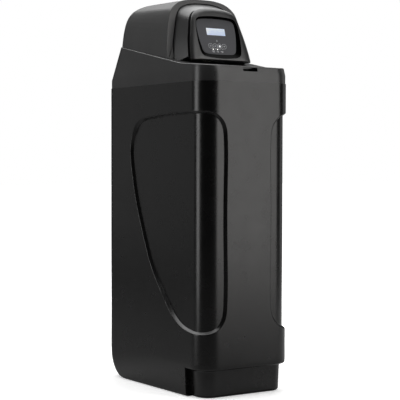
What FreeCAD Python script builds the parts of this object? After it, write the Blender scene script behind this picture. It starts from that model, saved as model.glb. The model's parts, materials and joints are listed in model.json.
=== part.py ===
import FreeCAD, Part
import math
import os

from BOPTools import SplitAPI

V = FreeCAD.Vector
X = V(1, 0, 0)
Y = V(0, 1, 0)
Z = V(0, 0, 1)

# Cabinet water softener, millimetres. The origin is the centre of the cabinet's foot print on the floor,
# the front faces -Y and +Z is up.

# Cabinet
cabinet_width = 320.0
cabinet_depth = 536.0
cabinet_height = 894.0
cabinet_wall = 4.0
front_corner = 60.0
rear_corner = 40.0
crease_height = 98.0
foot_taper = 4.0
rear_round = 75.0
kick_height = 80.0
kick_inset = 16.0
kick_end = 91.0
foot_edge_round = 8.0
foot_slices = 10
kick_edge_round = 6.0

# Recessed leaf on each side, which wraps round the front corner
leaf_depth = 9.0
leaf_slope = 6.5
leaf_front_reach = 77.0
leaf_top = 808.5
leaf_bottom = 183.0
leaf_samples = 120
leaf_edge_round = 3.5

# Top cover between the cabinet and the hood
deck_step = 1.8
deck_wall = 3.0
deck_band = 24.0
deck_side_lean = 0.12
deck_rear_lean = 0.23
deck_corner_growth = 0.17
deck_front_lean = 0.2
deck_break_y = -143.0
deck_break_z = 950.0
deck_front_slope = 0.097
deck_rear_slope = 0.2025
deck_edge_round = 4.0
skirt_depth = 12.0
skirt_gap = 0.5
valve_opening_half = 118.0
valve_opening_front = -70.0
valve_opening_rear = 208.0
window_half = 92.0
window_low = 952.0
window_high = 1012.0

# Salt lid and its hinge
lid_half = 96.0
lid_length = 116.0
lid_thickness = 3.0
lid_gap = 0.8
lid_ledge = 8.0
lid_seat_gap = 0.3
hinge_y = -145.0
hinge_drop = 6.0
hinge_pin_radius = 1.5
running_gap = 0.05
knuckle_radius = 3.3
knuckle_width = 20.0
knuckle_x = 70.0
notch_left = -21.0
notch_right = 30.0
notch_height = 10.5
notch_depth = 13.0
notch_corner = 3.0

# Hood over the control valve
hood_wall = 3.0
hood_seat_gap = 0.3
rim_y = -57.0
rim_z = 968.0
rim_lean = 0.165
hood_flange = 3.0
hood_front_gap = 2.5

# Display housing and control face, on a plane that leans back
face_y = -125.0
face_z = 960.0
face_lean = 16.54
face_half = 106.0
face_tall = 167.0
face_crown = 10.0
face_wall = 2.5
face_slices = 10
reveal = 9.0
neck_inset = 8.0
housing_wall = 2.5
housing_flare = 23.5
housing_foot_rise = 0.38
housing_foot_y = -84.0
dish_floor = 2.0
overlay_thickness = 0.8
fit_gap = 0.3

# Keys, lamps and screen on the control face, measured up the slope from its lower edge
key_count = 4
key_pitch = 16.0
key_shift = -4.9
key_height = 47.6
key_radius = 6.6
key_travel = 0.5
lamp_height = 37.4
lamp_radius = 1.1
screen_half = 32.8
screen_shift = -2.5
screen_low = 81.6
screen_high = 103.2
board_half_x = 60.0
board_low = 24.0
board_high = 128.0
board_depth = 12.0
board_thickness = 1.6

# Resin tank, a ten inch pressure vessel
tank_radius = 128.5
tank_y = 62.0
tank_height = 879.0
tank_wall = 4.0
tank_dome = 62.0
tank_knuckle = 40.0
tank_neck_radius = 43.0
tank_neck_bore = 37.0
tank_neck_height = 22.0
boot_radius = 131.5
boot_height = 60.0
boot_floor = 10.0
strainer_radius = 20.0
strainer_low = 19.3
strainer_height = 42.0
riser_radius = 13.35
riser_wall = 2.0
riser_low = 45.0
riser_top = 905.0
resin_top = 575.0

# Control valve
barrel_z = 985.0
barrel_radius = 31.0
barrel_bore = 25.0
barrel_front = -8.0
barrel_rear = 130.0
valve_flange_radius = 50.0
stem_radius = 40.0
spigot_bore = 30.3
stack_front = 6.0
stack_rear = 118.0
port_x = 42.0
port_radius = 20.0
port_bore = 14.0
port_start = 70.0
port_end = 160.0
piston_radius = 15.0
piston_length = 40.0
piston_start = 32.0
rod_radius = 6.0
rod_front = -62.0
gear_module = 1.5
gear_teeth = 52
pinion_teeth = 12
gear_rear = -17.0
gear_width = 8.0
backlash = 0.3
hub_radius = 10.0
shaft_radius = 3.0
shaft_rear = 8.0
pinion_z = barrel_z + gear_module * (gear_teeth + pinion_teeth) / 2
plate_front = -12.0
motor_radius = 15.0
motor_length = 34.0
motor_rear = barrel_front + motor_length + 4.0
injector_radius = 16.0
injector_x = 46.0
injector_y = 30.0
drain_y = 22.0
drain_port_x = 46.0
drain_x = 74.0
drain_barb = 6.5
drain_end = 66.0
mixing_y = 120.0
mixing_top = 1012.0
mixing_stem = 4.0
meter_front = 136.0
meter_length = 22.0

# Bypass and pipe connections at the rear
bypass_end = 215.0
bypass_radius = 20.0
handle_y = 184.0
handle_low = 1008.0
handle_radius = 13.0
handle_length = 34.0
handle_stem = 7.0
nut_radius = 24.0
nut_front = 203.0
tail_radius = 13.2
tail_bore = 10.0
tail_neck = 12.7
tail_plain = 35.0
tail_end = 262.0

# Brine side
brine_y = 50.0
brine_z = 925.0
brine_x = 60.0
brine_port_x = 50.0
brine_tube_start = 28.0
well_x = cabinet_width / 2 - 78.0
well_y = 78.0 - cabinet_depth / 2
well_radius = 50.0
well_wall = 3.0
well_top = 862.0
float_offset = 22.0
float_radius = 13.0
float_height = 80.0
float_low = 300.0
float_rod = 2.5
float_travel = 30.0
arm_z = 812.0
pickup_radius = 6.0
pickup_low = 30.0
tube_radius = 4.75
tube_z = 838.0
tube_reach = 18.0
overflow_x = cabinet_width / 2 - 65.0
overflow_z = 740.0
grommet_thickness = 2.0

# Small details
ring_wall = 3.0
ring_gap = 0.5
ring_height = 13.0
skirt_lap = 6.0
overflow_hole = 13.0
jack_radius = 6.0
jack_x = 0.0
jack_z = 907.0
ear_gap = 0.4
ear_width = 4.0
pin_length = 27.0
rib_gap = 1.5
rib_depth = 5.0
neck_length = 14.0
boss_x = 54.0
boss_low = 30.0
boss_high = 122.0
boss_radius = 4.0
screw_core = 1.5
screw_depth = 8.0
key_gap = 0.25
key_proud = 0.3
key_flange = 7.8
key_flange_depth = 1.5
connector_depth = 7.0
lead_x = 40.0
lead_v = 95.0
lead_radius = 2.2
power_v = 60.0
power_x = 100.0
housing_overlap = 12.0
housing_front_step = 1.5
housing_rear_low = 935.0
housing_rear_high = 1143.0
fin_reach = 142.0
fin_root = 122.0
fin_top = 1002.0

FLOOR = cabinet_wall


def box(x0, x1, y0, y1, z0, z1):
    return Part.makeBox(x1 - x0, y1 - y0, z1 - z0, V(x0, y0, z0))


def rod(radius, point, axis, length):
    return Part.makeCylinder(radius, length, point, axis)


def pipe(outer, inner, point, axis, length):
    return rod(outer, point, axis, length).cut(rod(inner, point - axis, axis, length + 2))


def fuse(shapes):
    return shapes[0].multiFuse(shapes[1:]).removeSplitter()


def rounded(half, front, rear, front_radius, rear_radius, z):
    """Closed outline at height z, with its own radii at the front and the rear corners"""
    s = math.sqrt(0.5)
    corners = [(half, front, 1, -1, front_radius), (half, rear, 1, 1, rear_radius),
               (-half, rear, -1, 1, rear_radius), (-half, front, -1, -1, front_radius)]
    arcs = []
    for x, y, sx, sy, r in corners:
        cx = x - sx * r
        cy = y - sy * r
        ends = [V(cx, y, z), V(x, cy, z)]
        if sx * sy > 0:
            ends.reverse()
        arcs.append(Part.Arc(ends[0], V(cx + sx * r * s, cy + sy * r * s, z), ends[1]))
    edges = []
    for i, arc in enumerate(arcs):
        following = arcs[(i + 1) % len(arcs)]
        edges.append(arc.toShape())
        edges.append(Part.LineSegment(arc.EndPoint, following.StartPoint).toShape())
    return Part.Wire(edges)


def cabinet_outline(inset, z):
    return rounded(cabinet_width / 2 - inset, -cabinet_depth / 2 + inset, cabinet_depth / 2 - inset,
                   front_corner - inset, rear_corner - inset, z)


def prism(wire, height):
    return Part.Face(wire).extrude(V(0, 0, height))


def side_solid(points, half):
    """Solid between x = -half and x = half, over a closed outline of lines and arcs in y and z"""
    edges = []
    for i, item in enumerate(points):
        start = item[-1]
        end = points[(i + 1) % len(points)][-1]
        following = points[(i + 1) % len(points)]
        a = V(-half, start[0], start[1])
        b = V(-half, end[0], end[1])
        if len(following) == 2:
            middle = V(-half, following[0][0], following[0][1])
            edges.append(Part.Arc(a, middle, b).toShape())
        else:
            edges.append(Part.LineSegment(a, b).toShape())
    return Part.Face(Part.Wire(edges)).extrude(V(2 * half, 0, 0))


def foot_block(inset, top):
    """The cabinet's outer form moved in by inset, with its tapered foot, its bottom round and its rear round"""
    levels = [crease_height]
    levels += [rear_round * (1 - math.cos(math.radians(90.0 * i / foot_slices))) for i in range(1, foot_slices + 1)]
    levels += [foot_edge_round * (1 - math.cos(math.radians(90.0 * i / 4))) for i in range(5)]
    wires = []
    for z in sorted(levels):
        taper = foot_taper * (1 - z / crease_height)
        if z < foot_edge_round:
            taper += foot_edge_round - math.sqrt(foot_edge_round ** 2 - (foot_edge_round - z) ** 2)
        cut = 0.0
        if z < rear_round:
            cut = rear_round - math.sqrt(rear_round ** 2 - (rear_round - z) ** 2)
        side = inset + taper
        wires.append(rounded(cabinet_width / 2 - side, -cabinet_depth / 2 + side, cabinet_depth / 2 - inset - cut,
                             front_corner - side, rear_corner - inset, z))
    lower = Part.makeLoft(wires, True, True)
    upper = prism(cabinet_outline(inset, crease_height), top - crease_height)
    return lower.fuse(upper)


def cabinet_block(inset, top):
    block = foot_block(inset, top)
    kick_rear = -cabinet_depth / 2 + kick_end + inset
    kick = box(-cabinet_width, cabinet_width, -cabinet_depth, kick_rear, -1, kick_height + inset)
    block = block.cut(kick.cut(foot_block(kick_inset + inset, top)))
    if inset > 0:
        block = block.common(box(-cabinet_width, cabinet_width, -cabinet_depth, cabinet_depth, inset, top))
    return block


# The leaf's outline as points, first the distance along the surface from the start of the front corner on the
# side wall, positive towards the rear, then the height. Past the corner the distance runs on along the front.
corner_run = front_corner * math.pi / 2
front_edge = -(corner_run + cabinet_width / 2 - front_corner - leaf_front_reach)
corner_y = -cabinet_depth / 2 + front_corner
leaf_outline = [(-8.0, leaf_top), (67.0, 808.4), (145.0, 805.5), (226.0, 799.5), (276.0, 792.0), (307.0, 772.0),
                (326.0, 738.0), (332.0, 698.0), (323.0, 636.0), (299.0, 548.0), (264.0, 461.0), (223.0, 375.0),
                (196.0, 333.0), (142.0, 269.0), (89.0, 215.0), (50.0, 194.0), (5.0, leaf_bottom + 1.5),
                (-50.0, leaf_bottom), (-85.0, 193.0), (front_edge + 9.0, 217.0), (front_edge, 262.0),
                (front_edge, 420.0), (front_edge, 600.0), (front_edge, 738.0), (front_edge + 8.0, 776.0),
                (front_edge + 34.0, 800.0), (-60.0, 808.0)]


def on_cabinet(distance, height, inset):
    """Point on the left side and front, inset from the cabinet's outer surface"""
    half = cabinet_width / 2
    if distance >= 0:
        return V(-half + inset, corner_y + distance, height)
    if distance < -corner_run:
        return V(-half + front_corner - (distance + corner_run), -cabinet_depth / 2 + inset, height)
    turn = -distance / front_corner
    radius = front_corner - inset
    return V(-half + front_corner - radius * math.cos(turn), corner_y - radius * math.sin(turn), height)


def leaf_curve(growth, inset):
    """The leaf's outline grown or shrunk within the surface, as a closed curve"""
    flat = Part.BSplineCurve()
    flat.interpolate(Points=[V(s, z, 0) for s, z in leaf_outline], PeriodicFlag=True)
    points = []
    for i in range(leaf_samples):
        value = flat.FirstParameter + (flat.LastParameter - flat.FirstParameter) * i / leaf_samples
        along = flat.tangent(value)[0]
        point = flat.value(value)
        points.append(on_cabinet(point.x - growth * along.y, point.y + growth * along.x, inset))
    curve = Part.BSplineCurve()
    curve.interpolate(Points=points, PeriodicFlag=True)
    return curve.toShape()


def leaf_block(outer_inset, growth):
    """Solid that fills one recess, from just outside the surface at outer_inset down to the recess floor"""
    margin = 2.0
    slope = leaf_slope / leaf_depth
    band_top = leaf_curve(growth + margin * slope, outer_inset - margin)
    band_low = leaf_curve(growth - (leaf_depth + margin) * slope, outer_inset + leaf_depth + margin)
    band = Part.makeRuledSurface(band_top, band_low)
    height = cabinet_height
    ring = prism(cabinet_outline(outer_inset - margin / 2, 0), height)
    ring = ring.cut(prism(cabinet_outline(outer_inset + leaf_depth, -1), height + 2))
    pieces = SplitAPI.slice(ring, [band], "Split").Solids
    return min(pieces, key=lambda piece: piece.Volume)


def mirrored(shape):
    return shape.mirror(V(0, 0, 0), X)


def edges_where(shape, test):
    return [edge for edge in shape.Edges if test(edge.CenterOfMass)]


def on_leaf_rim(edge, side):
    """Whether an edge lies on the outer rim of the leaf on this side, and not at its floor"""
    spread = edge.BoundBox
    if edge.Length < 20 or spread.ZMin < leaf_bottom - 13 or spread.ZMax > leaf_top + 6:
        return False
    middle = edge.discretize(3)[1]
    across = cabinet_width / 2 - side * middle.x
    if min(side * spread.XMin, side * spread.XMax) < cabinet_width / 2 - 100:
        return False
    if middle.y > corner_y:
        depth = across
    elif across > front_corner:
        depth = cabinet_depth / 2 + middle.y
    else:
        depth = front_corner - math.hypot(front_corner - across, middle.y - corner_y)
    return depth < leaf_depth / 2


def cabinet():
    outer = cabinet_block(0, cabinet_height)
    kick_rear = -cabinet_depth / 2 + kick_end
    lower = edges_where(outer, lambda p: abs(p.z - kick_height) < 0.1 and p.y < kick_rear - 1
                        and max(abs(p.x), -p.y - (cabinet_depth - cabinet_width) / 2) > cabinet_width / 2 - 18.5)
    outer = outer.makeFillet(kick_edge_round, lower)
    leaf = leaf_block(0, 0)
    for side, recess in ((-1, leaf), (1, mirrored(leaf))):
        outer = outer.cut(recess)
        rim = [edge for edge in outer.Edges if on_leaf_rim(edge, side)]
        outer = outer.makeFillet(leaf_edge_round, rim)
    inner = cabinet_block(cabinet_wall, cabinet_height + 5)
    bump = leaf_block(cabinet_wall, cabinet_wall)
    inner = inner.cut(bump).cut(mirrored(bump))
    shell = outer.cut(inner)
    tank_ring = pipe(boot_radius + ring_wall + ring_gap, boot_radius + ring_gap, V(0, tank_y, FLOOR - 1), Z,
                     ring_height)
    well_ring = pipe(well_radius + ring_wall + ring_gap, well_radius + ring_gap, V(well_x, well_y, FLOOR - 1), Z,
                     ring_height)
    shell = shell.fuse(tank_ring).fuse(well_ring)
    hole = rod(overflow_hole, V(overflow_x, cabinet_depth / 2 - 20, overflow_z), Y, 40)
    return shell.cut(hole)


DECK_LOW = cabinet_height
BAND_TOP = cabinet_height + deck_band


def deck_top(y):
    if y < deck_break_y:
        return deck_break_z + deck_front_slope * (y - deck_break_y)
    return deck_break_z + deck_rear_slope * (y - deck_break_y)


def deck_outline(inset, z):
    """Outline of the top cover at height z, whose walls lean in above the band"""
    rise = max(0.0, z - BAND_TOP)
    step = deck_step + inset
    half = cabinet_width / 2 - step - deck_side_lean * rise
    front = -cabinet_depth / 2 + step + deck_front_lean * rise
    rear = cabinet_depth / 2 - step - deck_rear_lean * rise
    return rounded(half, front, rear, front_corner - step, rear_corner - step + deck_corner_growth * rise, z)


def below_deck_top(drop):
    far = cabinet_depth
    ridge = (deck_break_y, deck_break_z - drop)
    return side_solid([((-far, 0),), ((far, 0),), ((far, deck_top(far) - drop),), (ridge,),
                       ((-far, deck_top(-far) - drop),)], cabinet_width)


def deck_block(inset, low, drop):
    high = deck_top(cabinet_depth / 2) + 5
    band = prism(deck_outline(inset, low), BAND_TOP - low)
    walls = Part.makeLoft([deck_outline(inset, BAND_TOP), deck_outline(inset, high)], True, True)
    return band.fuse(walls).common(below_deck_top(drop))


HINGE_Z = deck_top(hinge_y) - hinge_drop
LID_TURN = math.degrees(math.atan(deck_front_slope))


def on_lid(shape):
    """Moves a shape from the lid's own frame, whose X axis is the hinge line"""
    place = FreeCAD.Placement(V(0, hinge_y, HINGE_Z), FreeCAD.Rotation(X, LID_TURN))
    return shape.transformed(place.Matrix)


LID_REAR = lid_thickness - hinge_drop - 0.2
LID_SWEEP = hinge_drop + lid_gap


def deck():
    outer = deck_block(0, DECK_LOW, 0)
    rim = edges_where(outer, lambda p: abs(p.z - deck_top(p.y)) < 0.4
                      and (abs(p.x) > 60 or p.y < -200 or p.y > 180))
    outer = outer.makeFillet(deck_edge_round, rim)
    shell = outer.cut(deck_block(deck_wall, DECK_LOW - 1, deck_wall))
    skirt_inset = cabinet_wall + skirt_gap
    skirt = prism(cabinet_outline(skirt_inset, DECK_LOW - skirt_depth), skirt_depth + skirt_lap)
    skirt_hollow = prism(cabinet_outline(skirt_inset + deck_wall, DECK_LOW - skirt_depth - 1),
                         skirt_depth + skirt_lap + 2)
    skirt = skirt.cut(skirt_hollow)
    shell = shell.fuse(skirt)
    half = lid_half + lid_gap
    front = -lid_length - 8
    rear = LID_SWEEP
    seat = hinge_drop - lid_thickness - lid_seat_gap
    frame = box(-half - 3, half + 3, -lid_length - 2, rear + 3, seat - 3, hinge_drop - 1)
    shell = shell.fuse(on_lid(frame).common(outer))
    opening = box(-half + lid_ledge, half - lid_ledge, -lid_length + notch_depth + 6, -8, -40, 40)
    rebate = box(-half, half, front, rear, seat, 40)
    notch_low = seat - notch_height
    notch = box(notch_left, notch_right, front, notch_depth - lid_length, notch_low, seat + 1)
    corners = edges_where(notch, lambda p: abs(p.z - notch_low) < 0.01 and abs(p.y - notch.CenterOfMass.y) < 0.01)
    corners = [edge for edge in corners if edge.BoundBox.XLength < 0.01]
    notch = notch.makeFillet(notch_corner, corners)
    shell = shell.cut(on_lid(opening)).cut(on_lid(rebate)).cut(on_lid(notch))
    for side in (-1, 1):
        middle = side * knuckle_x
        room = box(middle - knuckle_width / 2 - ear_gap, middle + knuckle_width / 2 + ear_gap, -8, rear - 1, -9, 5)
        shell = shell.cut(on_lid(room))
        for end in (-1, 1):
            inner_face = middle + end * (knuckle_width / 2 + ear_gap)
            low = min(inner_face, inner_face + end * ear_width)
            ear = box(low, low + ear_width, -3, 3, -4, seat)
            shell = shell.fuse(on_lid(ear))
        hole = rod(hinge_pin_radius, V(middle - pin_length / 2, 0, 0), X, pin_length)
        shell = shell.cut(on_lid(hole))
    opening = prism(rounded(valve_opening_half, valve_opening_front, valve_opening_rear, 30, 40, DECK_LOW - 20), 200)
    shell = shell.cut(opening)
    window = box(-window_half, window_half, valve_opening_rear, cabinet_depth, window_low, window_high)
    shell = shell.cut(window)
    jack = rod(jack_radius, V(jack_x, cabinet_depth / 2 - 15, jack_z), Y, 30)
    return shell.cut(jack)


def hinge_pins():
    pins = []
    for side in (-1, 1):
        pins.append(on_lid(rod(hinge_pin_radius, V(side * knuckle_x - pin_length / 2, 0, 0), X, pin_length)))
    return Part.makeCompound(pins)


def salt_lid():
    plate = box(-lid_half, lid_half, -lid_length, LID_REAR, hinge_drop - lid_thickness, hinge_drop)
    shape = plate
    rib_half = lid_half + lid_gap - lid_ledge - rib_gap
    rib_front = -lid_length + notch_depth + 6 + rib_gap
    rib = box(-rib_half, rib_half, rib_front, -20, hinge_drop - lid_thickness - rib_depth, hinge_drop - 1)
    rib = rib.cut(box(-rib_half + 2.5, rib_half - 2.5, rib_front + 2.5, -22.5, -20, 20))
    shape = shape.fuse(rib)
    for side in (-1, 1):
        middle = side * knuckle_x
        start = V(middle - knuckle_width / 2, 0, 0)
        barrel = rod(knuckle_radius, start, X, knuckle_width)
        web = box(start.x, start.x + knuckle_width, -7, -1, 0, hinge_drop - 1)
        shape = shape.fuse(barrel.fuse(web))
        shape = shape.cut(rod(hinge_pin_radius + running_gap, start - X, X, knuckle_width + 2))
    shape = shape.removeSplitter()
    top = edges_where(shape, lambda p: abs(p.z - hinge_drop) < 0.01 and p.y < LID_REAR - 1)
    return on_lid(shape.makeFillet(1.5, top))


def lid_bumpers():
    seat = hinge_drop - lid_thickness - lid_seat_gap
    pads = []
    for side in (-1, 1):
        pads.append(on_lid(rod(3.0, V(side * (lid_half - 4), -lid_length + 12, seat), Z, lid_seat_gap)))
    return Part.makeCompound(pads)


# Sections of the hood: height above the floor at the rim, half width, rear edge and rear corner radius
hood_sections = [(950.0, 146.5, 229.0, 34.0), (978.0, 143.5, 228.0, 34.0), (1007.0, 140.0, 228.0, 34.0),
                 (1037.0, 135.5, 226.5, 34.0), (1067.0, 130.0, 223.0, 34.0), (1091.0, 123.5, 216.5, 35.0),
                 (1106.0, 118.0, 208.0, 36.0), (1116.0, 112.5, 202.0, 38.0), (1124.0, 105.0, 197.0, 40.0),
                 (1131.0, 96.5, 192.0, 42.0), (1137.0, 87.0, 184.0, 42.0), (1142.0, 76.0, 172.0, 40.0),
                 (1146.5, 60.0, 152.0, 36.0), (1150.0, 38.0, 120.0, 26.0), (1151.0, 24.0, 95.0, 16.0)]
hood_ease = 0.7
hood_front = -110.0
hood_front_corner = 12.0
hood_slices = 24


def through(points):
    curve = Part.BSplineCurve()
    curve.interpolate(Points=points, Parameters=[float(i) for i in range(len(points))])
    return curve


def hood_block(inset):
    """The dome as thin ruled slices between its sections, open past its front when it is inset"""
    place = through([V(half, rear, z) for z, half, rear, corner in hood_sections])
    corners = through([V(corner, 0, z) for z, half, rear, corner in hood_sections])
    last = len(hood_sections) - 1
    hood_top = hood_sections[last][0]
    wires = []
    for i in range(hood_slices + 1):
        value = last * i / hood_slices
        point = place.value(value)
        rise = max(0.0, (hood_top - point.z) / (hood_top - rim_z))
        turn = math.degrees(math.atan(deck_rear_slope * min(1.0, rise) ** hood_ease))
        outline = rounded(point.x - inset, hood_front - inset, point.y - inset, hood_front_corner,
                          corners.value(value).x - inset, point.z - inset)
        wires.append(outline.rotate(V(0, rim_y, point.z - inset), X, turn))
    return Part.makeLoft(wires, True, True)


def rim_at(z):
    return rim_y + rim_lean * (z - rim_z)


def behind_rim(offset, far):
    low = 900.0
    high = 1200.0
    near_low = rim_at(low) + offset
    near_high = rim_at(high) + offset
    return side_solid([((near_low, low),), ((near_high, high),), ((far, high),), ((far, low),)], cabinet_width)


def hood():
    outer = hood_block(0).common(behind_rim(0, cabinet_depth)).cut(below_deck_top(-hood_seat_gap))
    inner = hood_block(hood_wall).common(behind_rim(hood_flange, cabinet_depth + 10))
    shell = outer.cut(inner)
    shell = shell.cut(housing_block(hood_front_gap))
    return shell.removeSplitter()


# The arch of the control face, as shares of its half width and height
ARCH = [(1.0, 0.03), (0.976, 0.18), (0.92, 0.407), (0.834, 0.653), (0.75, 0.826), (0.66, 0.904), (0.51, 0.958),
        (0.264, 0.992)]
corner_size = 5.0

# The dish in the control face as points from its top to its bottom, first the half width, then the height
MOUTH = [(0.0, 138.6), (20.0, 138.1), (38.0, 136.9), (52.0, 135.2), (62.0, 132.8), (67.6, 129.9), (71.2, 125.5),
         (73.4, 119.0), (75.2, 108.0), (76.4, 92.0), (76.6, 76.0), (76.0, 58.0), (74.8, 42.0), (73.0, 29.5),
         (70.0, 21.0), (64.5, 14.9), (54.0, 11.2), (33.0, 8.3), (14.0, 6.9), (0.0, 6.6)]
FLOOR_LINE = [(0.0, 133.2), (18.0, 133.0), (34.0, 132.3), (47.0, 131.2), (56.0, 129.6), (61.7, 127.2), (65.2, 123.4),
              (67.3, 117.5), (68.5, 105.0), (68.2, 90.0), (67.0, 76.0), (65.2, 62.0), (63.0, 50.0), (60.6, 39.5),
              (57.9, 31.8), (53.6, 26.6), (45.5, 23.6), (28.0, 22.1), (12.0, 21.6), (0.0, 21.5)]


def on_face(shape):
    """Moves a shape from the face's own frame: X across, Y up the slope and Z out of the face"""
    place = FreeCAD.Placement(V(0, face_y, face_z), FreeCAD.Rotation(X, 90.0 - face_lean))
    return shape.transformed(place.Matrix)


def arch(side, top, bottom, w):
    """Outline of the control face, moved in by these amounts at its sides, top and bottom"""
    half = face_half - side
    high = face_tall - top
    corner = corner_size * half / face_half
    points = []
    for u, v in ARCH:
        points.append((half * u, bottom + corner + (high - bottom - corner) * (v - ARCH[0][1]) / (1 - ARCH[0][1])))
    right = [V(u, v, w) for u, v in points]
    left = [V(-u, v, w) for u, v in reversed(points)]
    curve = Part.BSplineCurve()
    curve.interpolate(Points=right + [V(0, high, w)] + left)
    dip = corner * (1 - math.sqrt(0.5))
    base = bottom
    first = Part.Arc(left[-1], V(-half + dip, base + dip, w), V(-half + corner, base, w))
    line = Part.LineSegment(V(-half + corner, base, w), V(half - corner, base, w))
    last = Part.Arc(V(half - corner, base, w), V(half - dip, base + dip, w), right[0])
    return Part.Wire([curve.toShape(), first.toShape(), line.toShape(), last.toShape()])


def dish(depth_share, growth, w):
    """Outline of the dish, at its floor for 0 and at its mouth for 1, moved out by growth"""
    points = []
    for (floor_u, floor_v), (mouth_u, mouth_v) in zip(FLOOR_LINE, MOUTH):
        points.append((floor_u + (mouth_u - floor_u) * depth_share, floor_v + (mouth_v - floor_v) * depth_share))
    half = max(u for u, v in points)
    low = points[-1][1]
    high = points[0][1]
    across = (half + growth) / half
    up = (high - low + 2 * growth) / (high - low)
    right = [V(u * across, low - growth + (v - low) * up, w) for u, v in points]
    left = [V(-p.x, p.y, w) for p in reversed(right[1:-1])]
    curve = Part.BSplineCurve()
    curve.interpolate(Points=right + left, PeriodicFlag=True)
    return Part.Wire([curve.toShape()])


def dish_block(growth, low_w):
    """The dish from its floor to past its mouth, grown by its wall"""
    past = 1.5
    reach = (face_crown - dish_floor) * past
    return Part.makeLoft([dish(0, growth, low_w), dish(past, growth, low_w + reach)], True, True)


# Steps of the crowned face: how far out it stands, and how far its sides, top and bottom are drawn in there
face_steps = [(0.0, 1.0, 1.0, 0.6), (3.0, 0.0, 0.0, 0.0), (5.8, 3.0, 2.5, 0.6), (8.2, 9.0, 7.5, 1.6),
              (9.5, 17.0, 13.0, 2.8), (10.0, 25.0, 18.0, 4.0)]


def face_block(inset):
    """The crowned face as thin ruled slices between its steps"""
    place = through([V(w, side, top) for w, side, top, bottom in face_steps])
    bottoms = through([V(bottom, 0, 0) for w, side, top, bottom in face_steps])
    last = len(face_steps) - 1
    wires = []
    for i in range(face_slices + 1):
        value = last * i / face_slices
        point = place.value(value)
        wires.append(arch(point.y + inset, point.z + inset, bottoms.value(value).x + inset, point.x - inset))
    return Part.makeLoft(wires, True, True)


def face_prism(inset, low, high):
    return prism(arch(inset, inset, inset, low), high - low)


def face_frame():
    back = face_steps[0][0]
    outer = face_block(0)
    hollow = face_block(face_wall)
    bowl = dish_block(face_wall, dish_floor - face_wall)
    shape = outer.cut(hollow.cut(bowl))
    web = face_prism(2.0, back, back + face_wall)
    web = web.cut(face_prism(neck_inset + face_wall, back - 1, back + face_wall + 1))
    neck = face_prism(neck_inset, -neck_length, back + 1)
    neck = neck.cut(face_prism(neck_inset + face_wall, -neck_length - 1, back + 2))
    shape = shape.fuse(web).fuse(neck)
    bowl_back = dish_floor - face_wall
    for x in (-boss_x, boss_x):
        for v in (boss_low, boss_high):
            boss = rod(boss_radius, V(x, v, -board_depth), Z, board_depth + bowl_back + 0.5)
            hole = rod(screw_core, V(x, v, -board_depth - 1), Z, screw_depth + 1)
            shape = shape.fuse(boss).cut(hole)
    shape = shape.cut(dish_block(0, dish_floor))
    for x in key_places():
        shape = shape.cut(rod(key_radius + key_gap, V(x, key_height, -board_depth), Z, 30))
    for x in lamp_places():
        shape = shape.cut(rod(lamp_radius + 0.1, V(x, lamp_height, -board_depth), Z, 30))
    shape = shape.cut(screen_box(-1.5, -board_depth, 10))
    shape = shape.cut(screen_box(fit_gap, dish_floor - 1.7, 10))
    return on_face(shape)


def screen_box(gap, low, high):
    half = screen_half + gap
    return box(screen_shift - half, screen_shift + half, screen_low - gap, screen_high + gap, low, high)


def key_places():
    first = key_shift - key_pitch * (key_count - 1) / 2
    return [first + key_pitch * i for i in range(key_count)]


def lamp_places():
    return [key_shift - key_pitch * 1.08, key_shift - key_pitch * 0.1]


def overlay():
    edge = 0.5
    sheet = prism(dish(0, -edge, dish_floor), overlay_thickness)
    for x in key_places():
        sheet = sheet.cut(rod(key_radius + key_gap, V(x, key_height, 0), Z, 10))
    for x in lamp_places():
        sheet = sheet.cut(rod(lamp_radius + 0.1, V(x, lamp_height, 0), Z, 10))
    return on_face(sheet.cut(screen_box(fit_gap, 0, 10)))


def screen_window():
    return on_face(screen_box(0, dish_floor - 1.7, dish_floor + overlay_thickness))


def lamps():
    top = dish_floor + overlay_thickness + 0.2
    low = 3.2 - board_depth
    lenses = [rod(lamp_radius, V(x, lamp_height, low), Z, top - low) for x in lamp_places()]
    return on_face(Part.makeCompound(lenses))


def key(x):
    top = dish_floor + overlay_thickness + key_proud
    back = dish_floor - face_wall - fit_gap
    cap = rod(key_radius, V(x, key_height, back - 0.5), Z, top - back + 0.5)
    cap = cap.makeChamfer(0.3, edges_where(cap, lambda p: abs(p.z - top) < 0.01))
    flange = rod(key_flange, V(x, key_height, back - key_flange_depth), Z, key_flange_depth)
    return on_face(cap.fuse(flange))


def display_board():
    board = box(-board_half_x, board_half_x, board_low, board_high, -board_depth - board_thickness, -board_depth)
    for x in (-boss_x, boss_x):
        for v in (boss_low, boss_high):
            board = board.cut(rod(screw_core + 0.3, V(x, v, -board_depth - 5), Z, 10))
    back = dish_floor - face_wall - fit_gap - key_flange_depth
    gap = key_travel + 0.2
    front = -board_depth
    for x in key_places():
        board = board.fuse(box(x - 3, x + 3, key_height - 3, key_height + 3, front - 0.5, front + 3.5))
        board = board.fuse(rod(1.7, V(x, key_height, front), Z, board_depth + back - gap))
    for x in lamp_places():
        board = board.fuse(box(x - 2, x + 2, lamp_height - 2, lamp_height + 2, front - 0.5, front + 3.2))
    deep = front - board_thickness
    for x, v, w, h, d in ((lead_x, lead_v, 14, 7, connector_depth), (-lead_x, power_v, 14, 7, connector_depth),
                          (0, 84, 14, 14, 2.5), (24, 50, 20, 10, 9), (-28, 104, 12, 12, 10)):
        board = board.fuse(box(x - w / 2, x + w / 2, v - h / 2, v + h / 2, deep - d, deep + 0.5))
    return on_face(board)


def screen_module():
    top = dish_floor - face_wall - 0.3
    half = screen_half + 6
    body = box(screen_shift - half, screen_shift + half, screen_low - 4, screen_high + 4, -board_depth, top)
    return on_face(body)


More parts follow.
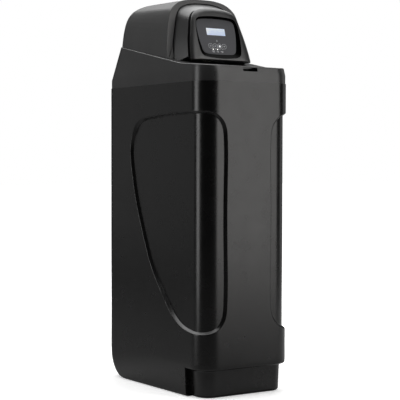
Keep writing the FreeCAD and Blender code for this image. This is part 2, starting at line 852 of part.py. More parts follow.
def board_screws():
    screws = []
    deep = -board_depth - board_thickness
    for x in (-boss_x, boss_x):
        for v in (boss_low, boss_high):
            head = rod(2.8, V(x, v, deep - 2), Z, 2)
            shank = rod(screw_core, V(x, v, deep - 0.1), Z, board_thickness + screw_depth)
            screws.append(on_face(head.fuse(shank)))
    return Part.makeCompound(screws)


def housing_rear_wire(growth):
    """The housing's rear outline, on a plane that leans as the hood's rim does"""
    back = housing_overlap
    points = []
    half = face_half + housing_flare + growth
    low = housing_rear_low
    high = housing_rear_high + growth
    for u, v in ARCH:
        points.append((half * u, low + (high - low) * v))
    right = [V(u, rim_at(z) + back, z) for u, z in points]
    left = [V(-p.x, p.y, p.z) for p in reversed(right)]
    curve = Part.BSplineCurve()
    curve.interpolate(Points=right + [V(0, rim_at(high) + back, high)] + left)
    return Part.Wire([curve.toShape(), Part.LineSegment(left[-1], right[0]).toShape()])


def housing_front_wire(growth):
    half = face_half + housing_front_step + growth
    high = face_tall + housing_front_step + growth
    low = -30.0
    points = [(half * u, high * v) for u, v in ARCH]
    points[0] = (half * 1.03, low)
    right = [V(u, v, -reveal) for u, v in points]
    left = [V(-p.x, p.y, p.z) for p in reversed(right)]
    curve = Part.BSplineCurve()
    curve.interpolate(Points=right + [V(0, high, -reveal)] + left)
    return on_face(Part.Wire([curve.toShape(), Part.LineSegment(left[-1], right[0]).toShape()]))


def housing_block(growth):
    return Part.makeLoft([housing_front_wire(growth), housing_rear_wire(growth)], True, True)


def housing_fin():
    """Small upright fin in front of the hood's flange, beside the housing's foot"""
    low = deck_top(rim_y) - 6
    points = [V(-fin_reach, 0, low), V(-fin_root, 0, low), V(-fin_root, 0, fin_top)]
    points = [V(p.x, rim_at(p.z) - fit_gap, p.z) for p in points]
    return Part.Face(Part.makePolygon(points + points[:1])).extrude(V(0, -3, 0))


def housing():
    outer = housing_block(0)
    inner = housing_block(-housing_wall)
    shell = outer.cut(inner)
    fin = housing_fin().cut(inner)
    shell = shell.fuse(fin).fuse(mirrored(fin))
    front = outer.common(on_face(box(-200, 200, -100, 250, -reveal - housing_wall, 10)))
    shell = shell.fuse(front)
    shell = shell.cut(on_face(face_prism(neck_inset - 0.4, -60, 10)))
    far = cabinet_depth
    low = deck_top(housing_foot_y)
    under = side_solid([((-far, 0),), ((far, 0),), ((far, deck_top(far)),), ((housing_foot_y, low),),
                        ((-far, low + housing_foot_rise * (far + housing_foot_y)),)], cabinet_width)
    return shell.cut(under)


TANK_LOW = FLOOR + boot_floor
TANK_TOP = TANK_LOW + tank_height
DOME_TOP = TANK_TOP - tank_neck_height + 3


def turned(points, x, y):
    """Solid of revolution about the upright axis at x, y, over a closed outline of lines and arcs"""
    edges = []
    for i, item in enumerate(points):
        start = item[-1]
        following = points[(i + 1) % len(points)]
        a = V(start[0], 0, start[1])
        b = V(following[-1][0], 0, following[-1][1])
        if len(following) == 2:
            edges.append(Part.Arc(a, V(following[0][0], 0, following[0][1]), b).toShape())
        else:
            edges.append(Part.LineSegment(a, b).toShape())
    solid = Part.Face(Part.Wire(edges)).revolve(V(0, 0, 0), Z, 360)
    solid.translate(V(x, y, 0))
    return solid


def vessel(inset):
    """The tank's form with its two domes, moved in by inset"""
    radius = tank_radius - inset
    knuckle = tank_knuckle - inset
    high = tank_dome - inset
    crown = (high ** 2 - knuckle ** 2 + (radius - knuckle) ** 2) / (2 * (high - knuckle))
    meet = math.asin((radius - knuckle) / (crown - knuckle))
    half = (meet + math.pi / 2) / 2
    base = TANK_LOW + inset
    outline = [((0, base),)]
    on_crown = [(crown * math.sin(a), crown - crown * math.cos(a)) for a in (meet / 2, meet)]
    on_knuckle = [(radius - knuckle + knuckle * math.sin(a), high - knuckle * math.cos(a))
                  for a in (half, math.pi / 2)]
    outline.append(tuple((r, base + z) for r, z in on_crown))
    outline.append(tuple((r, base + z) for r, z in on_knuckle))
    top = DOME_TOP - inset
    outline.append(((radius, top - high),))
    outline.append(((on_knuckle[0][0], top - on_knuckle[0][1]), (on_crown[1][0], top - on_crown[1][1])))
    outline.append(((on_crown[0][0], top - on_crown[0][1]), (0, top)))
    return turned(outline, 0, tank_y)


def tank():
    neck_low = DOME_TOP - 8
    shape = vessel(0).fuse(rod(tank_neck_radius, V(0, tank_y, neck_low), Z, TANK_TOP - neck_low))
    shape = shape.cut(vessel(tank_wall))
    return shape.cut(rod(tank_neck_bore, V(0, tank_y, neck_low - 10), Z, 60))


def tank_boot():
    shape = rod(boot_radius, V(0, tank_y, FLOOR), Z, boot_height)
    return shape.cut(vessel(-fit_gap))


def lower_strainer_block(growth):
    return rod(strainer_radius + growth, V(0, tank_y, strainer_low - growth), Z, strainer_height + 2 * growth)


def lower_strainer():
    shape = lower_strainer_block(0)
    shape = shape.cut(rod(riser_radius, V(0, tank_y, riser_low), Z, 100))
    shape = shape.cut(rod(riser_radius - riser_wall, V(0, tank_y, strainer_low + 6), Z, 100))
    for i in range(5):
        z = strainer_low + 7 + 3.4 * i
        shape = shape.cut(pipe(strainer_radius + 1, strainer_radius - 1.5, V(0, tank_y, z), Z, 1.2))
    return shape


def riser_tube():
    return pipe(riser_radius, riser_radius - riser_wall, V(0, tank_y, riser_low), Z, riser_top - riser_low)


def resin_bed():
    bed = vessel(tank_wall).common(box(-200, 200, -200, 300, 0, resin_top))
    bed = bed.cut(lower_strainer_block(0))
    return bed.cut(rod(riser_radius, V(0, tank_y, strainer_low), Z, 700))


def upper_strainer():
    low = TANK_TOP - 43
    shape = pipe(spigot_bore - fit_gap, riser_radius + fit_gap, V(0, tank_y, low), Z, 35)
    for i in range(6):
        shape = shape.cut(pipe(40, spigot_bore - 2, V(0, tank_y, low + 2.5 + 3 * i), Z, 1.2))
    return shape


def along_y(radius, x, z, start, end):
    return rod(radius, V(x, start, z), Y, end - start)


def along_x(radius, y, z, start, end):
    return rod(radius, V(start, y, z), X, end - start)


def valve_body():
    low = TANK_TOP
    solids = [rod(tank_neck_bore - fit_gap, V(0, tank_y, low - 25), Z, 26),
              rod(valve_flange_radius, V(0, tank_y, low), Z, 12),
              rod(stem_radius, V(0, tank_y, low + 11), Z, barrel_z - low - 11),
              along_y(barrel_radius, 0, barrel_z, barrel_front, barrel_rear),
              along_x(injector_radius - 2, injector_y, barrel_z, 0, injector_x),
              along_x(9, brine_y, brine_z, 0, brine_port_x),
              along_x(10, drain_y, barrel_z, -drain_port_x, 0)]
    for side in (-1, 1):
        solids.append(along_y(port_radius, side * port_x, barrel_z, port_start, port_end))
        inner = side * 20
        outer = side * 50
        solids.append(box(min(inner, outer), max(inner, outer), barrel_front, barrel_front + 14, barrel_z - 8,
                          barrel_z + 8))
    solids.append(rod(10, V(port_x, mixing_y, barrel_z), Z, mixing_top - barrel_z))
    shape = fuse(solids)
    cuts = [along_y(barrel_bore, 0, barrel_z, barrel_front - 1, stack_rear),
            rod(spigot_bore, V(0, tank_y, low - 26), Z, 30),
            rod(riser_radius + fit_gap, V(0, tank_y, low), Z, riser_top + 1 - low),
            rod(riser_radius - riser_wall, V(0, tank_y, low), Z, barrel_z - low),
            rod(5, V(24, tank_y, low), Z, barrel_z - low - 5),
            along_x(5, injector_y, barrel_z, 20, injector_x + 1),
            along_x(3, brine_y, brine_z, 20, brine_port_x + 1),
            along_x(4, drain_y, barrel_z, -drain_port_x - 1, -20),
            rod(mixing_stem + running_gap, V(port_x, mixing_y, barrel_z + 4), Z, 60)]
    for side, y in ((1, 84.0), (-1, 104.0)):
        cuts.append(along_y(port_bore, side * port_x, barrel_z, y - 10, port_end + 1))
        cuts.append(along_x(8, y, barrel_z, min(0, side * port_x), max(0, side * port_x)))
        cuts.append(along_y(1.9, side * 42, barrel_z, barrel_front - 1, barrel_front + 12.5))
    for piece in cuts:
        shape = shape.cut(piece)
    return shape


def seal_stack():
    shape = along_y(barrel_bore - running_gap, 0, barrel_z, stack_front, stack_rear)
    shape = shape.cut(along_y(piston_radius + running_gap, 0, barrel_z, stack_front - 1, stack_rear + 1))
    for y in (20.0, 42.0, 62.0, 84.0, 104.0):
        groove = along_y(barrel_bore + 1, 0, barrel_z, y - 3.5, y + 3.5)
        shape = shape.cut(groove.cut(along_y(barrel_bore - 4, 0, barrel_z, y - 4, y + 4)))
        shape = shape.cut(along_x(2.5, y, barrel_z, -30, 30)).cut(rod(2.5, V(0, y, barrel_z - 30), Z, 60))
    return shape


def front_retainer():
    shape = along_y(barrel_bore - 0.1, 0, barrel_z, barrel_front, stack_front)
    return shape.cut(along_y(rod_radius + running_gap, 0, barrel_z, barrel_front - 1, stack_front + 1))


def piston():
    shape = along_y(piston_radius, 0, barrel_z, piston_start, piston_start + piston_length)
    waist = along_y(piston_radius + 1, 0, barrel_z, piston_start + 10, piston_start + piston_length - 10)
    shape = shape.cut(waist.cut(along_y(piston_radius - 4, 0, barrel_z, 0, 100)))
    return shape.fuse(along_y(rod_radius, 0, barrel_z, rod_front, piston_start + 1))


def gear_outline(teeth, phase):
    """Involute outline in the plane of the gear, as short splines on the flanks and lines between them"""
    pitch = gear_module * teeth / 2
    base = pitch * math.cos(math.radians(20))
    tip = pitch + gear_module
    root = pitch - 1.25 * gear_module
    start = max(base, root)
    half = math.pi / (2 * teeth) - backlash / (2 * pitch)
    involute = math.tan(math.radians(20)) - math.radians(20)
    flank = []
    for i in range(5):
        r = start + (tip - start) * i / 4
        pressure = math.acos(min(1.0, base / r))
        flank.append((r, half + involute - (math.tan(pressure) - pressure)))
    edges = []
    previous = None
    first = None
    for tooth in range(teeth):
        middle = phase + 2 * math.pi * tooth / teeth
        rising = [V(r * math.cos(middle - a), r * math.sin(middle - a), 0) for r, a in flank]
        falling = [V(r * math.cos(middle + a), r * math.sin(middle + a), 0) for r, a in reversed(flank)]
        foot_in = V(root * math.cos(middle - flank[0][1]), root * math.sin(middle - flank[0][1]), 0)
        foot_out = V(root * math.cos(middle + flank[0][1]), root * math.sin(middle + flank[0][1]), 0)
        rise_curve = Part.BSplineCurve()
        rise_curve.interpolate(Points=rising)
        fall_curve = Part.BSplineCurve()
        fall_curve.interpolate(Points=falling)
        ring = []
        if start > root:
            ring.append(Part.LineSegment(foot_in, rising[0]).toShape())
        ring.append(rise_curve.toShape())
        ring.append(Part.LineSegment(rising[-1], falling[0]).toShape())
        ring.append(fall_curve.toShape())
        entry = foot_in if start > root else rising[0]
        leave = foot_out if start > root else falling[-1]
        if start > root:
            ring.append(Part.LineSegment(falling[-1], foot_out).toShape())
        if previous is None:
            first = entry
        else:
            edges.append(Part.LineSegment(previous, entry).toShape())
        edges += ring
        previous = leave
    edges.append(Part.LineSegment(previous, first).toShape())
    return Part.Wire(edges)


def gear_block(teeth, phase, z):
    shape = Part.Face(gear_outline(teeth, phase)).extrude(V(0, 0, gear_width))
    shape.rotate(V(0, 0, 0), X, 90)
    shape.translate(V(0, gear_rear, z))
    return shape


def main_gear():
    shape = gear_block(gear_teeth, 0, barrel_z)
    ring = along_y(31, 0, barrel_z, gear_rear - gear_width - 1, gear_rear - gear_width + 2.5)
    shape = shape.cut(ring.cut(along_y(12, 0, barrel_z, -100, 0)))
    shape = shape.fuse(along_y(hub_radius, 0, barrel_z, gear_rear - 1, barrel_front - 0.5))
    return shape.cut(along_y(rod_radius + running_gap, 0, barrel_z, -100, 0))


def pinion():
    shape = gear_block(pinion_teeth, math.radians(15), pinion_z)
    return shape.fuse(along_y(shaft_radius, 0, pinion_z, gear_rear - 1, shaft_rear))


def drive_bracket():
    low = box(-55, 55, plate_front, barrel_front, 945, 1008)
    high = box(-24, 24, plate_front, barrel_front, 1007, pinion_z + 24)
    shape = low.fuse(high).removeSplitter()
    shape = shape.cut(along_y(hub_radius + running_gap, 0, barrel_z, -50, 10))
    shape = shape.cut(along_y(shaft_radius + 0.3, 0, pinion_z, -50, 10))
    for x in (-42, 42):
        shape = shape.cut(along_y(2.7, x, barrel_z, -50, 10))
    return shape


def bracket_screws():
    screws = []
    for x in (-42, 42):
        head = along_y(4.5, x, barrel_z, plate_front - 3, plate_front)
        screws.append(head.fuse(along_y(1.9, x, barrel_z, plate_front - 0.5, barrel_front + 12)))
    return Part.makeCompound(screws)


def gear_motor():
    shape = along_y(motor_radius, 0, pinion_z, barrel_front, barrel_front + motor_length)
    cap = along_y(motor_radius - 4, 0, pinion_z, barrel_front + motor_length - 1, motor_rear)
    shape = shape.fuse(cap)
    return shape.cut(along_y(shaft_radius + running_gap, 0, pinion_z, barrel_front - 1, shaft_rear + 0.5))


def injector_cap():
    shape = along_x(injector_radius, injector_y, barrel_z, injector_x, injector_x + 9)
    grip = along_x(injector_radius - 5, injector_y, barrel_z, injector_x + 8, injector_x + 15)
    return shape.fuse(grip).fuse(along_x(4.7, injector_y, barrel_z, injector_x - 6, injector_x + 1))


def brine_elbow():
    x = brine_x
    shape = along_x(8, brine_y, brine_z, brine_port_x, x + 8)
    shape = shape.fuse(along_y(8, x, brine_z, brine_tube_start - 10, brine_y))
    shape = shape.fuse(rod(9.5, V(x, brine_tube_start - 10, brine_z), Y, 6))
    shape = shape.cut(along_y(tube_radius, x, brine_z, brine_tube_start - 11, brine_tube_start))
    shape = shape.cut(along_y(3, x, brine_z, brine_tube_start - 1, brine_y))
    return shape.cut(along_x(3, brine_y, brine_z, brine_port_x - 1, x))


def drain_elbow():
    shape = along_x(9, drain_y, barrel_z, -drain_x - 9, -drain_port_x)
    shape = shape.fuse(along_y(drain_barb, -drain_x, barrel_z, drain_y, drain_end))
    for i in range(4):
        y = drain_end - 4 - 5 * i
        cone = Part.makeCone(drain_barb + 1, drain_barb - 0.2, 4, V(-drain_x, y, barrel_z), Y)
        shape = shape.fuse(cone)
    shape = shape.cut(along_y(4, -drain_x, barrel_z, drain_y, drain_end + 1))
    return shape.cut(along_x(4, drain_y, barrel_z, -drain_x, -drain_port_x + 1))


def mixing_knob():
    shape = rod(11, V(port_x, mixing_y, mixing_top + fit_gap), Z, 12)
    for i in range(10):
        turn = 2 * math.pi * i / 10
        groove = V(port_x + 11.5 * math.cos(turn), mixing_y + 11.5 * math.sin(turn), mixing_top)
        shape = shape.cut(rod(1.6, groove, Z, 20))
    return shape.fuse(rod(mixing_stem, V(port_x, mixing_y, barrel_z + 5), Z, mixing_top - barrel_z - 3))


def meter_carrier():
    x = -port_x
    shape = pipe(port_bore - 0.1, port_bore - 1.3, V(x, meter_front, barrel_z), Y, meter_length)
    for y in (meter_front, meter_front + meter_length - 2):
        for turn in (0, 60, 120):
            bar = box(x - port_bore + 0.6, x + port_bore - 0.6, y, y + 2, barrel_z - 0.8, barrel_z + 0.8)
            bar.rotate(V(x, y, barrel_z), Y, turn)
            shape = shape.fuse(bar)
        shape = shape.fuse(along_y(2.5, x, barrel_z, y, y + 2))
    shape = shape.fuse(along_y(1.2, x, barrel_z, meter_front + 1, meter_front + 4.5))
    return shape.fuse(along_y(1.2, x, barrel_z, meter_front + meter_length - 4.5, meter_front + meter_length - 1))


def meter_turbine():
    x = -port_x
    front = meter_front + 2.4
    rear = meter_front + meter_length - 2.4
    shape = along_y(3.2, x, barrel_z, front, rear)
    for i in range(6):
        turn = math.radians(60 * i)
        blade = box(x, x + port_bore - 2.2, front + 1, rear - 1, barrel_z - 0.5, barrel_z + 0.5)
        blade.rotate(V(x, front, barrel_z), Y, 60 * i)
        blade.rotate(V(x, (front + rear) / 2, barrel_z), V(math.cos(turn), 0, -math.sin(turn)), 25)
        shape = shape.fuse(blade)
    shape = shape.common(along_y(port_bore - 2, x, barrel_z, front, rear))
    return shape.cut(along_y(1.2 + running_gap, x, barrel_z, front - 1, front + 2.5)).cut(
        along_y(1.2 + running_gap, x, barrel_z, rear - 2.5, rear + 1))


def bypass_body():
    solids = [along_x(13, handle_y, barrel_z, -port_x, port_x)]
    for side in (-1, 1):
        solids.append(along_y(bypass_radius, side * port_x, barrel_z, port_end, bypass_end))
        solids.append(rod(13, V(side * port_x, handle_y, barrel_z), Z, handle_low - barrel_z))
    shape = fuse(solids)
    for side in (-1, 1):
        shape = shape.cut(along_y(port_bore, side * port_x, barrel_z, port_end - 1, bypass_end + 1))
        shape = shape.cut(rod(handle_stem + running_gap, V(side * port_x, handle_y, barrel_z), Z, 60))
    return shape.cut(along_x(8, handle_y, barrel_z, -port_x, port_x))


def bypass_handle(side):
    x = side * port_x
    shape = rod(handle_radius, V(x, handle_y, handle_low + fit_gap), Z, 6)
    wing = box(x - 3.5, x + 3.5, handle_y - handle_length / 2, handle_y + handle_length / 2, handle_low + 5,
               handle_low + 19)
    shape = shape.fuse(wing)
    return shape.fuse(rod(handle_stem, V(x, handle_y, barrel_z + 13.5), Z, handle_low - barrel_z - 12))


def bypass_clips():
    clips = []
    for side in (-1, 1):
        x = side * port_x
        ring = pipe(port_radius + 3, port_radius + 0.05, V(x, port_end - 4, barrel_z), Y, 8)
        clips.append(ring.cut(box(x - 9, x + 9, port_end - 5, port_end + 5, barrel_z, barrel_z + 40)))
    return Part.makeCompound(clips)


def union_nut(side):
    x = side * port_x
    shape = pipe(nut_radius, bypass_radius + fit_gap, V(x, nut_front, barrel_z), Y, bypass_end + 5 - nut_front)
    shape = shape.fuse(pipe(nut_radius, tail_radius + fit_gap, V(x, bypass_end + 5, barrel_z), Y, 6))
    for i in range(12):
        turn = math.radians(30 * i)
        reach = nut_radius + 0.8
        groove = along_y(2.0, x + reach * math.cos(turn), barrel_z + reach * math.sin(turn), nut_front - 1,
                         bypass_end + 8)
        shape = shape.cut(groove)
    return shape


def tailpiece(side):
    x = side * port_x
    shape = along_y(tail_neck, x, barrel_z, bypass_end, tail_end)
    shape = shape.fuse(along_y(tail_radius, x, barrel_z, tail_end - tail_plain, tail_end))
    shape = shape.fuse(along_y(bypass_radius - 0.4, x, barrel_z, bypass_end, bypass_end + 5 - fit_gap))
    return shape.cut(along_y(tail_bore, x, barrel_z, bypass_end - 1, tail_end + 1))


def swept(points, radius):
    """Round bar along straight runs joined by tangent arcs"""
    runs = [points[i + 1] - points[i] for i in range(len(points) - 1)]
    edges = []
    start = points[0]
    for i in range(1, len(points) - 1):
        before = runs[i - 1]
        after = runs[i]
        turn = before.getAngle(after)
        cut = 0.45 * min(before.Length, after.Length)
        a = points[i] - before / before.Length * cut
        b = points[i] + after / after.Length * cut
        bisector = after / after.Length - before / before.Length
        bisector.normalize()
        bend = cut / math.tan(turn / 2)
        middle = points[i] + bisector * (bend / math.cos(turn / 2) - bend)
        edges.append(Part.LineSegment(start, a).toShape())
        edges.append(Part.Arc(a, middle, b).toShape())
        start = b
    edges.append(Part.LineSegment(start, points[-1]).toShape())
    path = Part.Wire(edges)
    section = Part.Wire([Part.Circle(points[0], runs[0], radius).toShape()])
    return path.makePipeShell([section], True, False)


def brine_tube():
    return swept([V(brine_x, brine_tube_start, brine_z), V(brine_x, -40, brine_z), V(well_x, well_y + 95, tube_z),
                  V(well_x, well_y + tube_reach, tube_z)], tube_radius)


def brine_well():
    shape = pipe(well_radius, well_radius - well_wall, V(well_x, well_y, FLOOR), Z, well_top - FLOOR)
    for i in range(6):
        slot = box(0, 60, -2, 2, 24, 84)
        slot.rotate(V(0, 0, 0), Z, 60 * i)
        slot.translate(V(well_x, well_y, 0))
        shape = shape.cut(slot)
    return shape.cut(along_y(tube_radius + 0.5, well_x, tube_z, well_y, well_y + 60))


def well_cap():
    shape = rod(well_radius + 3, V(well_x, well_y, well_top), Z, 3)
    bore = well_radius - well_wall
    skirt = pipe(bore - fit_gap, bore - 2.5, V(well_x, well_y, well_top - 8), Z, 9)
    grip = box(well_x - 14, well_x + 14, well_y - 1.5, well_y + 1.5, well_top + 2, well_top + 13)
    return shape.fuse(skirt).fuse(grip)


def brine_pickup():
    shape = rod(pickup_radius, V(well_x, well_y, pickup_low), Z, tube_z - pickup_low)
    shape = shape.fuse(rod(12, V(well_x, well_y, tube_z - 12), Z, 24))
    tube_end = well_y + tube_reach
    shape = shape.fuse(along_y(8, well_x, tube_z, well_y, tube_end + 8))
    shape = shape.fuse(box(well_x - 6, well_x + 6, well_y - 32, well_y, arm_z, arm_z + 5))
    shape = shape.cut(rod(pickup_radius - 1.5, V(well_x, well_y, pickup_low - 1), Z, tube_z - pickup_low + 1))
    shape = shape.cut(along_y(3.2, well_x, tube_z, well_y, tube_end + 9))
    shape = shape.cut(along_y(tube_radius, well_x, tube_z, tube_end, tube_end + 9))
    return shape.cut(rod(float_rod + 0.4, V(well_x, well_y - float_offset, arm_z - 1), Z, 7))


def air_check():
    low = pickup_low - 6
    shape = rod(11, V(well_x, well_y, low), Z, 40)
    shape = shape.cut(rod(8, V(well_x, well_y, low + 3), Z, 26))
    shape = shape.cut(rod(pickup_radius, V(well_x, well_y, pickup_low + 24), Z, 30))
    for turn in (0, 90):
        slot = box(-12, 12, -2.5, 2.5, low + 5, low + 26)
        slot.rotate(V(0, 0, 0), Z, turn)
        slot.translate(V(well_x, well_y, 0))
        shape = shape.cut(slot)
    return shape.cut(rod(pickup_radius, V(well_x, well_y, pickup_low), Z, 30))


def brine_float():
    y = well_y - float_offset
    shape = rod(float_radius, V(well_x, y, float_low), Z, float_height)
    shape = shape.fuse(rod(float_rod, V(well_x, y, float_low - 20), Z, arm_z + 12 - float_low + 20))
    shape = shape.fuse(rod(5.0, V(well_x, y, arm_z + 5 + fit_gap), Z, 4))
    shape = shape.fuse(rod(5.0, V(well_x, y, float_low - 14), Z, 4))
    return shape.fuse(rod(5.0, V(well_x, y, arm_z - float_travel - 4 - fit_gap), Z, 4))


def overflow_elbow():
    x = overflow_x
    rear = cabinet_depth / 2
    shape = along_y(overflow_hole - 0.4, x, overflow_z, rear - 22, rear + 4)
    shape = shape.fuse(along_y(18, x, overflow_z, rear + grommet_thickness, rear + grommet_thickness + 3))
    shape = shape.fuse(along_y(9, x, overflow_z, rear + 3, rear + 23))
    shape = shape.fuse(rod(8, V(x, rear + 15, overflow_z - 36), Z, 36))
    for i in range(3):
        shape = shape.fuse(Part.makeCone(8.2, 9.2, 4, V(x, rear + 15, overflow_z - 34 + 6 * i), Z))
    shape = shape.cut(along_y(6, x, overflow_z, rear - 23, rear + 15))
    return shape.cut(rod(5.5, V(x, rear + 15, overflow_z - 37), Z, 37))


def overflow_grommet():
    return pipe(17.5, overflow_hole - 0.4, V(overflow_x, cabinet_depth / 2, overflow_z), Y, grommet_thickness)


def overflow_nut():
    rear = cabinet_depth / 2 - cabinet_wall
    corners = [V(20 * math.cos(math.radians(60 * i)), 0, 20 * math.sin(math.radians(60 * i))) for i in range(6)]
    nut = Part.Face(Part.makePolygon(corners + corners[:1])).extrude(V(0, -7, 0))
    nut.translate(V(overflow_x, rear, overflow_z))
    return nut.cut(along_y(overflow_hole - 0.4, overflow_x, overflow_z, rear - 10, rear + 1))


def power_inlet():
    rear = cabinet_depth / 2 - deck_step
    shape = along_y(jack_radius - 0.2, jack_x, jack_z, rear - 22, rear + 1)
    shape = shape.fuse(along_y(8.5, jack_x, jack_z, rear, rear + 1.5))
    socket = along_y(3.2, jack_x, jack_z, rear - 8, rear + 2)
    return shape.cut(socket.cut(along_y(1.0, jack_x, jack_z, rear - 9, rear + 3)))


def lead_end(x, v, run):
    """The place where a lead meets its connector on the display board, and a point straight behind it"""
    deep = -board_depth - board_thickness - connector_depth
    place = FreeCAD.Placement(V(0, face_y, face_z), FreeCAD.Rotation(X, 90.0 - face_lean))
    return place.multVec(V(x, v, deep)), place.multVec(V(x, v, deep - run))


def motor_lead():
    start, next_point = lead_end(lead_x, lead_v, 26.0)
    far = motor_rear + 20
    path = [start, next_point, V(lead_x, far, pinion_z), V(0, far, pinion_z), V(0, motor_rear, pinion_z)]
    return swept(path, lead_radius)


def power_lead():
    start, next_point = lead_end(-lead_x, power_v, 32.0)
    rear = cabinet_depth / 2 - deck_step - 22
    path = [start, next_point, V(-power_x, -38, next_point.z), V(-power_x, -38, jack_z),
            V(-power_x, rear - 24, jack_z), V(jack_x, rear - 24, jack_z), V(jack_x, rear, jack_z)]
    return swept(path, lead_radius)


def main():
    os.makedirs("parts", exist_ok=True)
    parts = {"cabinet": cabinet(), "deck": deck(), "hinge_pins": hinge_pins(), "salt_lid": salt_lid(),
             "lid_bumpers": lid_bumpers(), "hood": hood(), "face_frame": face_frame(), "face_overlay": overlay(),
             "screen_window": screen_window(), "lamp_lenses": lamps(), "display_board": display_board(),
             "screen_module": screen_module(), "board_screws": board_screws(), "display_housing": housing(),
             "resin_tank": tank(), "tank_boot": tank_boot(), "lower_strainer": lower_strainer(),
             "riser_tube": riser_tube(), "resin_bed": resin_bed(), "upper_strainer": upper_strainer(),
             "valve_body": valve_body(), "seal_stack": seal_stack(), "front_retainer": front_retainer(),
             "piston": piston(), "main_gear": main_gear(), "pinion": pinion(), "drive_bracket": drive_bracket(),
             "bracket_screws": bracket_screws(), "gear_motor": gear_motor(), "injector_cap": injector_cap(),
             "brine_elbow": brine_elbow(), "drain_elbow": drain_elbow(), "mixing_knob": mixing_knob(),
             "meter_carrier": meter_carrier(), "meter_turbine": meter_turbine(), "bypass_body": bypass_body(),
             "inlet_handle": bypass_handle(1), "outlet_handle": bypass_handle(-1),
             "bypass_clips": bypass_clips(),
             "inlet_nut": union_nut(1), "outlet_nut": union_nut(-1), "inlet_tail": tailpiece(1),
             "outlet_tail": tailpiece(-1), "brine_tube": brine_tube(), "brine_well": brine_well(),
             "well_cap": well_cap(), "brine_pickup": brine_pickup(), "air_check": air_check(),
             "brine_float": brine_float(), "overflow_elbow": overflow_elbow(),
             "overflow_grommet": overflow_grommet(), "overflow_nut": overflow_nut(),
             "power_inlet": power_inlet(), "motor_lead": motor_lead(), "power_lead": power_lead()}
    for i, x in enumerate(key_places()):
        parts["key_" + str(i + 1)] = key(x)
    for name, shape in parts.items():
        shape.exportStep("parts/" + name + ".step")


main()
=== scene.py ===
import json
import math

import bmesh
import bpy
from mathutils import Matrix, Vector


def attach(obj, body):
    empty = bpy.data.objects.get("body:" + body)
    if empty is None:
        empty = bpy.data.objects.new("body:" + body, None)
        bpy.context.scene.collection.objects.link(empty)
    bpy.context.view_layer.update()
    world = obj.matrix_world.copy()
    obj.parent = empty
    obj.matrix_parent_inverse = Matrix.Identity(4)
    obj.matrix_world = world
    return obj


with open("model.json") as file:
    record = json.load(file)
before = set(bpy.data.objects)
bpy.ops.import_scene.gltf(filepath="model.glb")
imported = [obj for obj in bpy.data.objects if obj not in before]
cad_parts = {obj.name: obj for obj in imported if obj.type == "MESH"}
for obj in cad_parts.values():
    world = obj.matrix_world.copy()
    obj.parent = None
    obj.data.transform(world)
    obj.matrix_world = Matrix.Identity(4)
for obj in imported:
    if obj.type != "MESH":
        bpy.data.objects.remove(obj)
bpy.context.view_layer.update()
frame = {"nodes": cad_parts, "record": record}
NODES = frame["nodes"]
scene = bpy.context.scene
scene.view_settings.view_transform = "Standard"
scene.view_settings.look = "None"

# Lengths are metres, apart from the drawings of the control face, which are millimetres
MM_PER_METRE = 1000
WHITE = (1.0, 1.0, 1.0, 1.0)


# ---------------------------------------------------------------- shader nodes

def link(tree, start, end):
    tree.links.new(start, end)


def new_material(name):
    """Material with one surface shader: returns it with its tree and that shader"""
    mat = bpy.data.materials.new(name)
    mat.use_nodes = True
    tree = mat.node_tree
    tree.nodes.clear()
    out = tree.nodes.new("ShaderNodeOutputMaterial")
    shader = tree.nodes.new("ShaderNodeBsdfPrincipled")
    link(tree, shader.outputs["BSDF"], out.inputs["Surface"])
    return mat, tree, shader


def coords(tree):
    return tree.nodes.new("ShaderNodeTexCoord").outputs["Object"]


def noise(tree, scale, detail, rough, place):
    node = tree.nodes.new("ShaderNodeTexNoise")
    node.inputs["Scale"].default_value = scale
    node.inputs["Detail"].default_value = detail
    node.inputs["Roughness"].default_value = rough
    link(tree, place, node.inputs["Vector"])
    return node.outputs["Fac"]


def ramp(tree, fac, stops):
    """Colour by value, from pairs of place and colour"""
    node = tree.nodes.new("ShaderNodeValToRGB")
    link(tree, fac, node.inputs["Fac"])
    elements = node.color_ramp.elements
    while len(elements) < len(stops):
        elements.new(0.5)
    for element, (place, colour) in zip(elements, stops):
        element.position = place
        element.color = (*colour, 1.0)
    return node.outputs["Color"]


def remap(tree, value, source=(0.0, 1.0), result=(0.0, 1.0), shape="LINEAR"):
    """Maps one range of a value onto another and holds it at the ends"""
    node = tree.nodes.new("ShaderNodeMapRange")
    node.interpolation_type = shape
    for end, number in zip(("From Min", "From Max", "To Min", "To Max"), (*source, *result)):
        node.inputs[end].default_value = number
    link(tree, value, node.inputs["Value"])
    return node.outputs["Result"]


def blended(tree, first, second, blend):
    node = tree.nodes.new("ShaderNodeMix")
    node.data_type = "RGBA"
    node.blend_type = blend
    node.inputs[0].default_value = 1.0
    link(tree, first, node.inputs[6])
    link(tree, second, node.inputs[7])
    return node.outputs[2]


def bump(tree, height, strength, distance, into):
    """Feeds a bump into a normal socket and returns the socket for a bump under it"""
    node = tree.nodes.new("ShaderNodeBump")
    node.inputs["Strength"].default_value = strength
    node.inputs["Distance"].default_value = distance
    link(tree, height, node.inputs["Height"])
    link(tree, node.outputs["Normal"], into)
    return node.inputs["Normal"]


def by_view(tree, unseen, seen, out):
    """One shader for what the camera sees itself, another for every other ray"""
    rays = tree.nodes.new("ShaderNodeLightPath")
    choose = tree.nodes.new("ShaderNodeMixShader")
    link(tree, rays.outputs["Is Camera Ray"], choose.inputs[0])
    link(tree, unseen, choose.inputs[1])
    link(tree, seen, choose.inputs[2])
    link(tree, choose.outputs[0], out)


def grey(value):
    return (value, value, value)


def shade(colour, factor):
    return tuple(min(1.0, c * factor) for c in colour)


def shades(colour, low, high):
    """Stops from a darker to a lighter shade, over the middle of a noise's range"""
    return [(0.3, shade(colour, low)), (0.7, shade(colour, high))]


# ---------------------------------------------------------------- materials

